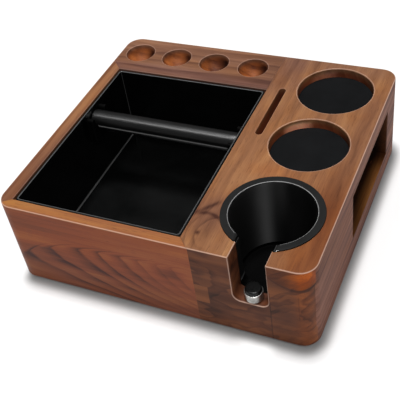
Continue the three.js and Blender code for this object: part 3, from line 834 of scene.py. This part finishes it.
def front_block():
    """The block under the deck: a lip with the notch, the ends of the lip, and a body round the bore."""
    lip_back = CUP_Y - BORE - 0.4
    lip_l, lip_r = BAY_R + MITRE_F, RIGHT - CORNER
    form = Form(lambda x, z, y: (x, -y, z))
    r = NOTCH_CORNER
    notch = [(NOTCH_R, DECK_Z, 1)] + arc(NOTCH_R - r, NOTCH_Z + r, r, 0, -90, 8)
    notch += arc(NOTCH_L + r, NOTCH_Z + r, r, -90, -180, 8) + [(NOTCH_L, DECK_Z, 0)]
    loop = [(lip_l, DECK_Z, 0), (lip_l, PLINTH_Z, 0), (lip_r, PLINTH_Z, 0), (lip_r, DECK_Z, 0)] + notch
    form.prism(loop, -lip_back, -FRONT, top=EDGE)
    form.place = lambda x, y, z: (x, y, z)
    turn = 360 + math.degrees(math.asin((lip_back - FRONT - CORNER) / CORNER))
    form.prism(arc(*ARC_FR, 270, turn, 12, 0) + [(lip_r, lip_back, 0)], PLINTH_Z, DECK_Z)
    left_end = [(lip_l, FRONT, 0), (lip_l, lip_back, 0), (BAY_R, lip_back, 0), (BAY_R, BAY_F, 0)]
    form.prism(left_end, PLINTH_Z, DECK_Z)
    shell = arc(RIGHT - EDGE, BLOCK_B - EDGE, EDGE, 0, 90, 4)
    shell += [(BAY_R, BLOCK_B, 0), (BAY_R, lip_back, 0)]
    mouth = [(NOTCH_L, lip_back, 0)] + bore_arc() + [(NOTCH_R, lip_back, 0)]
    corner = arc(*ARC_FR, turn, 360, 2, 0)
    form.prism(shell + mouth + corner, NOTCH_Z, DECK_Z)
    round_wall = [p[:2] for p in circle(CUP_X, CUP_Y, BORE)]
    bore = ([(round_wall, NOTCH_Z), (round_wall, PLINTH_Z)], "through")
    form.prism(shell + corner, PLINTH_Z, NOTCH_Z, holes=[bore])
    form.piece("front_block_wood", "station", (RIGHT_WOODS, block_look), "walnut_block", "front_block")


def plinth_plank():
    form = Form()
    loop = [(BAY_R + MITRE_F, FRONT, 1)] + arc(*ARC_FR, 270, 360, 12) + arc(*ARC_BR, 0, 90, 12)
    loop += [(BAY_R, BACK, SEAM), (BAY_R, BAY_F, SEAM)]
    round_wall = [p[:2] for p in circle(CUP_X, CUP_Y, BORE)]
    pocket = ([(round_wall, PLINTH_Z), (round_wall, POCKET_Z)], "flat")
    form.prism(loop, BOTTOM, PLINTH_Z, bottom=EDGE, holes=[pocket])
    form.piece("plinth_wood", "station", (RIGHT_WOODS, plinth_look), "walnut_block", "plinth_plank")


def rear_block():
    form = Form()
    loop = [(BAY_R, REAR_F, 0)] + arc(RIGHT - EDGE, REAR_F + EDGE, EDGE, 270, 360, 4)
    loop += arc(*ARC_BR, 0, 90, 12) + [(BAY_R, BACK, 0)]
    form.prism(loop, PLINTH_Z, DECK_Z)
    form.piece("rear_block_wood", "station", (RIGHT_WOODS, rear_look), "walnut_block", "rear_block")


# Coaster pads and feet
def at(cx, cy, cz):
    """Places a form by its own middle."""
    return lambda x, y, z: (cx + x, cy + y, cz + z)


def pads():
    for node in PADS:
        x, y, r, (z0, z1) = upright(node)
        h = z1 - z0
        form = Form(at(x, y, z0))
        rim = [(r, h - 0.5), (r - 0.15, h - 0.15), (r - 0.5, h)]
        form.turned([(0, 0), (r, 0)] + rim + [(r * 0.5, h), (0, h)], 96)
        form.piece(node + "_mat", "station", PAD, "coaster_pad", node)


def feet():
    for node in ("foot_front_left", "foot_front_right", "foot_rear_left", "foot_rear_right"):
        x, y, r, (z0, z1) = upright(node)
        h, hollow = z1 - z0, 0.3
        form = Form(at(x, y, z0))
        sole = [(0, hollow), (r * 0.45, hollow), (r * 0.5, 0), (r - 0.6, 0), (r - 0.15, 0.2)]
        form.turned(sole + [(r, 0.7), (r - 0.4, h), (0, h)], 48)
        form.piece(node + "_rubber", "station", FOOT, "foot_rubber", node)


# Knock box and bar
CORNER_STEPS = 6


def rounded(x0, x1, y0, y1, r):
    """A rectangle with rounded corners."""
    corners = ((x1 - r, y0 + r, -90), (x1 - r, y1 - r, 0), (x0 + r, y1 - r, 90), (x0 + r, y0 + r, 180))
    return [p[:2] for cx, cy, a in corners for p in arc(cx, cy, r, a, a + 90, CORNER_STEPS)]


def knock_bin():
    (x0, x1), (y0, y1), (z0, z1) = span("knock_bin")
    form = Form()

    def level(inward, z, r, edge=0.0):
        """A ring round the box, so far in from its outside, with corners of radius r."""
        return form.ring(rounded(x0 + inward, x1 - inward, y0 + inward, y1 - inward, r), z, edge)

    def wear_and_highlight(edge):
        """The edge value round a level, raised in the middle of its corners, which paints highlight lines
        there.
        """
        points = CORNER_STEPS + 1
        return [max(edge, 1.0 if i % points == CORNER_STEPS / 2 else 0.0) for i in range(4 * points)]

    wall, rim, fillet, floor = 2.0, 0.55, 1.6, z0 + 2.0
    outer_r, inner_r = 3.0, 1.6
    rings = [level(1.0, z0, outer_r - 1.0), level(0.3, z0 + 0.3, outer_r - 0.3)]
    rings.append(level(0, z0 + 1.0, outer_r))
    for a in quarter(3):
        out = rim * (1 - math.cos(a))
        rings.append(level(out, z1 - rim * (1 - math.sin(a)), outer_r - out))
    # Pale lines at the inner rim, down the inner corners and along the floor's edge are painted highlights
    for a in quarter(3):
        out = rim * (1 - math.sin(a))
        rings.append(level(wall - out, z1 - rim * (1 - math.cos(a)), inner_r + out, wear_and_highlight(math.cos(a))))
    for a in quarter(4):
        out, up = fillet * (1 - math.cos(a)), fillet * (1 - math.sin(a))
        rings.append(level(wall + out, floor + up, inner_r + 0.2 * a, wear_and_highlight(math.sin(2 * a))))
    form.skin(rings)
    form.cap(rings[0])
    form.cap(rings[-1])

    def look(centre, normal):
        """A dull look outside and underneath, and the floor's own look."""
        outward = (centre.x - (x0 + x1) / 2) * normal.x + (centre.y - (y0 + y1) / 2) * normal.y
        if normal.z > 0.9 and centre.z < z0 + 5:
            return BIN_FLOOR
        return BIN_DULL if outward > 0 or normal.z < -0.5 else BIN

    form.piece("bin_shell", "bin", ([BIN, BIN_DULL, BIN_FLOOR], look), "bin_plastic", "knock_bin")


def cradles():
    _, (bar_y0, bar_y1), (bar_z0, bar_z1) = span("bar_sleeve")
    cy, cz, r = (bar_y0 + bar_y1) / 2, (bar_z0 + bar_z1) / 2, (bar_y1 - bar_y0) / 2 + 0.4
    for side, flip in (("left", 1), ("right", -1)):
        (x0, x1), (y0, y1), (z0, z1) = span("bar_cradle_" + side)
        wall = x0 if flip > 0 else x1
        form = Form(lambda y, z, x, wall=wall, flip=flip: (wall + flip * x, y, z))
        tip, heel = (cy - r - y0) / 2 - 0.05, 3.0
        loop = arc(y0 + heel, z0 + heel, heel, 180, 270, 5) + arc(y1 - heel, z0 + heel, heel, 270, 360, 5)
        loop += arc(y1 - tip, z1 - tip, tip, 0, 180, 8) + arc(cy, cz, r, 0, -180, 20)
        loop += arc(y0 + tip, z1 - tip, tip, 0, 180, 8)
        form.prism(loop, 0, x1 - x0, top=0.8)
        form.piece(f"bar_cradle_{side}_moulding", "bin", FITTING, "bar_plastic", "bar_cradle_" + side)


def bar():
    (x0, x1), (y0, y1), (z0, z1) = span("bar_sleeve")
    cy, cz, r, bore = (y0 + y1) / 2, (z0 + z1) / 2, (y1 - y0) / 2, 4.15

    def along(x, y, z):
        """Lays a turned form along the bar."""
        return z, cy + x, cz + y

    form = Form(along)
    sleeve = [(bore, x0), (r - 0.1, x0), (r, x0 + 0.1), (r, x1 - 0.1), (r - 0.1, x1), (bore, x1)]
    # Painted highlight lines run along it at three of its steps
    form.turned(sleeve, 64, lines=(1, 33, 34))
    form.piece("bar_sleeve_rubber", "bar", RUBBER, "bar_rubber", "bar_sleeve")
    for side, flip in (("left", 1), ("right", -1)):
        (a, b), _, _ = span("bar_end_cap_" + side)
        outer = a if flip > 0 else b
        steps = [(bore, 0), (r - 1.2, 0), (r - 0.35, 0.35), (r, 1.2), (r, b - a), (bore, b - a)]
        form = Form(along)
        form.turned([(q, outer + flip * s) for q, s in steps], 64)
        form.piece(f"bar_end_cap_{side}_moulding", "bar", RUBBER, "bar_plastic", "bar_end_cap_" + side)


# Portafilter cup: a turned shell with the handle notch and the screw's flute cut out of it
def cup():
    form = Form(at(CUP_X, CUP_Y, 0))
    low, top, chamfer, floor = CUP_BOTTOM, CUP_TOP, 0.9, CUP_BOTTOM + 3.0
    lean = (CUP_MOUTH - CUP_FLOOR) / (top - chamfer - floor)
    foot = [(0, low), (CUP_OUTER - 1.5, low), (CUP_OUTER - 0.4, low + 0.4), (CUP_OUTER, low + 1.5)]
    flange = [(CUP_OUTER, TOP), (FLANGE_R - 0.1, TOP), (FLANGE_R, TOP + 0.15), (FLANGE_R, top - 0.4)]
    flange += [(FLANGE_R - 0.12, top - 0.12), (FLANGE_R - 0.4, top), (CUP_MOUTH + chamfer, top)]
    # The mouth's full edge value paints a pale highlight line round the lip
    mouth = [(CUP_MOUTH + chamfer * 0.55, top - chamfer * 0.2, 1.0)]
    mouth += [(CUP_MOUTH + chamfer * 0.15, top - chamfer * 0.55), (CUP_MOUTH, top - chamfer)]
    bowl = [(CUP_FLOOR + lean * 3, floor + 3.0), (CUP_FLOOR - 0.6, floor + 0.9), (CUP_FLOOR - 2.4, floor)]
    bowl += [(CUP_FLOOR * 0.5, floor), (0, floor)]
    form.turned(foot + flange + mouth + bowl, 128)
    notch = Form(lambda x, z, y: (NOTCH_X + x, -y, z))
    half, r, sill = NOTCH / 2, NOTCH_CORNER, NOTCH_Z - 0.3
    loop = [(half + FLARE, top + 2, 0), (-half - FLARE, top + 2, 0)]
    loop += arc(-half - FLARE, top - FLARE, FLARE, 90, 0, 10)
    loop += arc(-half + r, sill + r, r, 180, 270, 8) + arc(half - r, sill + r, r, 270, 360, 8)
    loop += arc(half + FLARE, top - FLARE, FLARE, 180, 90, 10)
    notch.prism(loop, -CUP_Y, -CUP_Y + FLANGE_R + 3)
    flute = Form(at(NOTCH_X, SCREW_Y, 0))
    flute_r = HEAD_R + FLUTE_GAP
    flute.turned([(0, low - 1), (flute_r, low - 1), (flute_r, TOP), (0, TOP)])
    blanks = []
    for name, made in (("shell", form), ("notch", notch), ("flute", flute)):
        blanks.append(bpy.data.objects.new(name, made.mesh(name)))
        bpy.context.scene.collection.objects.link(blanks[-1])
    shell, *cutters = blanks
    for cutter in cutters:
        cut = shell.modifiers.new("cut", "BOOLEAN")
        cut.object, cut.operation, cut.solver = cutter, "DIFFERENCE", "EXACT"
    bevel = shell.modifiers.new("rounding", "BEVEL")
    bevel.width, bevel.segments = 0.5 * MM, 3
    bevel.limit_method, bevel.angle_limit = "ANGLE", math.radians(50)
    finished = shell.evaluated_get(bpy.context.evaluated_depsgraph_get())
    mesh = bpy.data.meshes.new_from_object(finished)
    mesh.name = "cup_moulding"
    for blank in blanks:
        bpy.data.objects.remove(blank)
    smooth(mesh, 35)
    add_piece(mesh, "cup", ([CUP, CUP_RIM, CUP_DULL, CUP_LIP], cup_look), "portafilter_cup")


def cup_look(centre, normal):
    """A rim look on top, a glossy one on the notch's right lip, and a dull one on the floor, on the
    outside and in the notch."""
    off = centre.xy - Vector((CUP_X, CUP_Y))
    lip = off.y < 0 < centre.x - NOTCH_X < NOTCH / 2 + FLARE and centre.z > CUP_TOP - FLARE
    if lip and 0.2 < normal.z < 0.97:
        return CUP_LIP
    if centre.z > TOP and normal.z > (0.3 if off.length < CUP_OUTER else 0.8):
        return CUP_RIM
    dull = off.dot(normal.xy) > 0 or abs(normal.z) > 0.3 or centre.z < CUP_BOTTOM + 5
    return CUP_DULL if dull else CUP


# Handle support: a threaded thumb screw with a rubber cap
def support():
    r, collar = HEAD_R, 2.0
    height, shank = SCREW_TOP - NOTCH_Z, SCREW_TIP - NOTCH_Z
    pitch, cut = 1.7, 0.45
    barrel_top = height - collar - 0.3

    def thread(a, z):
        """How far the thread cuts in at an angle and a height on the barrel."""
        turns = z / pitch - a / (2 * math.pi)
        return -cut * abs(2 * (turns % 1) - 1) if 0.3 < z < barrel_top else 0.0

    form = Form(at(NOTCH_X, SCREW_Y, NOTCH_Z))
    shank_r, seat_r, seat = 2.5, r - 0.7, height - 2.1
    profile = [(0, shank), (shank_r - 0.4, shank), (shank_r, shank + 0.5), (shank_r, 0), (r - 0.8, 0)]
    profile += [(r - 0.5, 0.25 + barrel_top * i / 30) for i in range(31)]
    profile += [(r - 0.25, height - collar), (r, height - collar + 0.3), (r, height - 0.3)]
    profile += [(r - 0.1, height - 0.1), (r - 0.3, height), (r - 0.5, height)]
    profile += [(seat_r, height - 0.2), (seat_r, seat), (0, seat)]
    form.turned(profile, 64, thread)
    form.piece("support_screw_metal", "support", STEEL, "screw_steel", "support_screw")
    x, y, q, (z0, z1) = upright("support_cap")
    h = z1 - z0
    form = Form(at(x, y, z0))
    crown = [(q, h - 1.6), (q - 0.1, h - 0.9), (q - 0.35, h - 0.4), (q - 0.75, h - 0.1), (q - 1.2, h)]
    form.turned([(0, 0), (q, 0)] + crown + [(q * 0.4, h), (0, h)], 64)
    form.piece("support_cap_rubber", "support_pad", CAP, "cap_rubber", "support_cap")


for build in (
    left_board, front_board, back_board, well_rail, deck_panel, front_block, plinth_plank, rear_block,
    pads, feet, knock_bin, cradles, bar, cup, support,
):
    build()

# CAD nodes that stay
KEPT = {
    "base_board": WOOD_INNER,
    "bay_rear_board": WOOD_INNER,
    "divider_board": WOOD_NICHE,
    "threaded_insert": BRASS,
    "bar_rod": ROD,
    "cradle_screw_left_front": ROD,
    "cradle_screw_left_rear": ROD,
    "cradle_screw_right_front": ROD,
    "cradle_screw_right_rear": ROD,
}
for name, material in KEPT.items():
    materials = frame["nodes"][name].data.materials
    materials.clear()
    materials.append(material)


# Stage: a white floor, soft lamps and the photograph's camera
def seen(tree):
    """1 for the rays that show the backdrop: to the camera, in gloss and through clear material."""
    path = tree.nodes.new("ShaderNodeLightPath")
    total = path.outputs["Is Camera Ray"]
    for name in ("Is Glossy Ray", "Is Transmission Ray"):
        most = tree.nodes.new("ShaderNodeMath")
        most.operation = "MAXIMUM"
        tree.links.new(total, most.inputs[0])
        tree.links.new(path.outputs[name], most.inputs[1])
        total = most.outputs[0]
    return total


def floor():
    """A floor that shows white with the object's shadow, darker close to the object than the lamps
    make it, and that throws little light back up."""
    mesh = bpy.data.meshes.new("floor")
    size = 30.0
    corners = [(-size, -size, 0), (size, -size, 0), (size, size, 0), (-size, size, 0)]
    mesh.from_pydata(corners, [], [(0, 1, 2, 3)])
    look = Look("floor")
    shown = Num(look, seen(look.tree))
    reach = 10.5
    # Distance from the object's rounded outline
    across = look.x.calc("ABSOLUTE").above(RIGHT - CORNER)
    ahead = look.y.calc("ABSOLUTE").above(BACK - CORNER)
    away = (across * across + ahead * ahead).calc("SQRT") - CORNER
    near = away.rise(reach, 0) * look.x.rise(LEFT - 4, LEFT + 12)
    white = look.blend(near * 0.65, (0.95, 0.95, 0.95), (0.0, 0.0, 0.0))
    grey = (0.7, 0.7, 0.7)
    look.set(Base_Color=look.blend(shown, grey, white), Roughness=0.9, Specular_IOR_Level=0.0)
    look.set(Emission_Color=(1.0, 1.0, 1.0), Emission_Strength=shown * 0.03)
    mesh.materials.append(look.mat)
    made = bpy.data.objects.new("floor", mesh)
    bpy.context.scene.collection.objects.link(made)


def world():
    """White walls and a dim ceiling where they show, and an even grey for the light they give."""
    made = bpy.data.worlds.new("studio")
    bpy.context.scene.world = made
    made.use_nodes = True
    tree = made.node_tree
    way = tree.nodes.new("ShaderNodeTexCoord")
    parts = tree.nodes.new("ShaderNodeSeparateXYZ")
    wall = tree.nodes.new("ShaderNodeMapRange")
    level = tree.nodes.new("ShaderNodeMapRange")
    tree.links.new(way.outputs["Generated"], parts.inputs[0])
    tree.links.new(parts.outputs["Z"], wall.inputs["Value"])
    for key, value in (("From Min", 0.06), ("From Max", 0.12), ("To Min", 1.0), ("To Max", 0.08)):
        wall.inputs[key].default_value = value
    tree.links.new(seen(tree), level.inputs["Value"])
    level.inputs["To Min"].default_value = 0.1
    tree.links.new(wall.outputs["Result"], level.inputs["To Max"])
    tree.links.new(level.outputs["Result"], tree.nodes["Background"].inputs["Strength"])
    tree.nodes["Background"].inputs["Color"].default_value = (1, 1, 1, 1)


def lamp(name, way, spread, power):
    """A wide soft lamp, far off in the direction given, spread over an angle in degrees."""
    data = bpy.data.lights.new(name, "SUN")
    data.energy, data.angle = power, math.radians(spread)
    made = bpy.data.objects.new(name, data)
    made.rotation_euler = Vector(way).to_track_quat("Z", "Y").to_euler()
    made.location = Vector(way).normalized()
    bpy.context.scene.collection.objects.link(made)


def camera():
    """The camera that was solved from the object's straight edges, without shift."""
    data = bpy.data.cameras.new("camera")
    data.sensor_width, data.lens = 36.0, 71.5
    made = bpy.data.objects.new("camera", data)
    right = Vector((0.911455, 0.392032, -0.124744))
    up = Vector((-0.186442, 0.663908, 0.7242))
    turn = Matrix((right, up, right.cross(up))).transposed()
    place = Vector((236.03, -436.78, 469.37)) * MM
    made.matrix_world = Matrix.Translation(place) @ turn.to_4x4()
    bpy.context.scene.collection.objects.link(made)
    bpy.context.scene.camera = made


floor()
world()
lamp("top", (-0.065, 0.115, 0.99), 11, 2.1)
lamp("key", (-0.37, -0.17, 0.91), 15.6, 0.3)
lamp("side", (0.35, -0.42, 0.84), 28, 1.02)
camera()

bpy.context.scene.view_settings.view_transform = "Standard"
